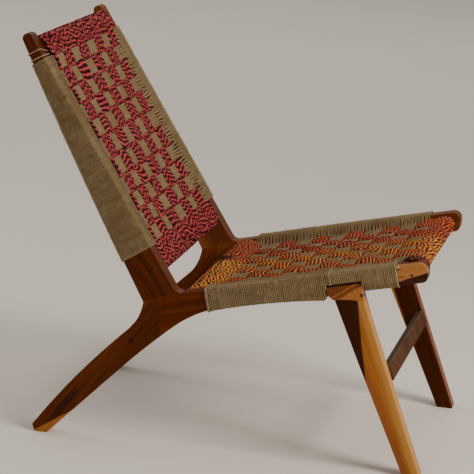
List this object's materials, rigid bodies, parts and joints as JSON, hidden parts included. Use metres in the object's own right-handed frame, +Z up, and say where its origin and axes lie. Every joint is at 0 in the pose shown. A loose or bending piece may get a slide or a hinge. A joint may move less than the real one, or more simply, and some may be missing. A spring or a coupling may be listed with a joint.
{
  "type": "low woven easy chair",
  "caption": "Low easy chair with Y-shaped wooden side frames, raked front legs, a stretcher and a seat and back woven from coloured cord and jute twine.",
  "frame": {"origin": "bottom centre of the bounding box, on the floor", "axes": "+Z up, the front of the chair faces -Y, +X is the sitter's left"},
  "size_m": [0.5574, 0.8224, 0.7784],
  "materials": {
    "wood": "oiled rosewood-like hardwood, satin",
    "dowel_wood": "plain",
    "jute": "rough twine",
    "pink_cord": "pink and black two-ply cord",
    "orange_cord": "orange, red and dark two-ply cord",
    "steel": "dulled"
  },
  "bodies": {
    "root": {"back_coloured_cord": "pink_cord", "back_front_jute": "jute", "back_lower_rail": "wood", "back_rear_jute": "jute", "back_top_rail": "wood", "cross_rail_screws": "steel", "front_stretcher": "wood", "left_back_jute_wrap": "jute", "left_back_post": "wood", "left_frame_dowels": "dowel_wood", "left_front_leg": "wood", "left_leg_dowels": "dowel_wood", "left_rear_leg": "wood", "left_seat_jute_wrap": "jute", "left_seat_rail": "wood", "left_stretcher_tenon": "dowel_wood", "right_back_jute_wrap": "jute", "right_back_post": "wood", "right_frame_dowels": "dowel_wood", "right_front_leg": "wood", "right_leg_dowels": "dowel_wood", "right_rear_leg": "wood", "right_seat_jute_wrap": "jute", "right_seat_rail": "wood", "right_stretcher_tenon": "dowel_wood", "seat_coloured_cord": "orange_cord", "seat_front_rail": "wood", "seat_rear_rail": "wood", "seat_top_jute": "jute", "seat_under_jute": "jute"}
  },
  "joints": []
}
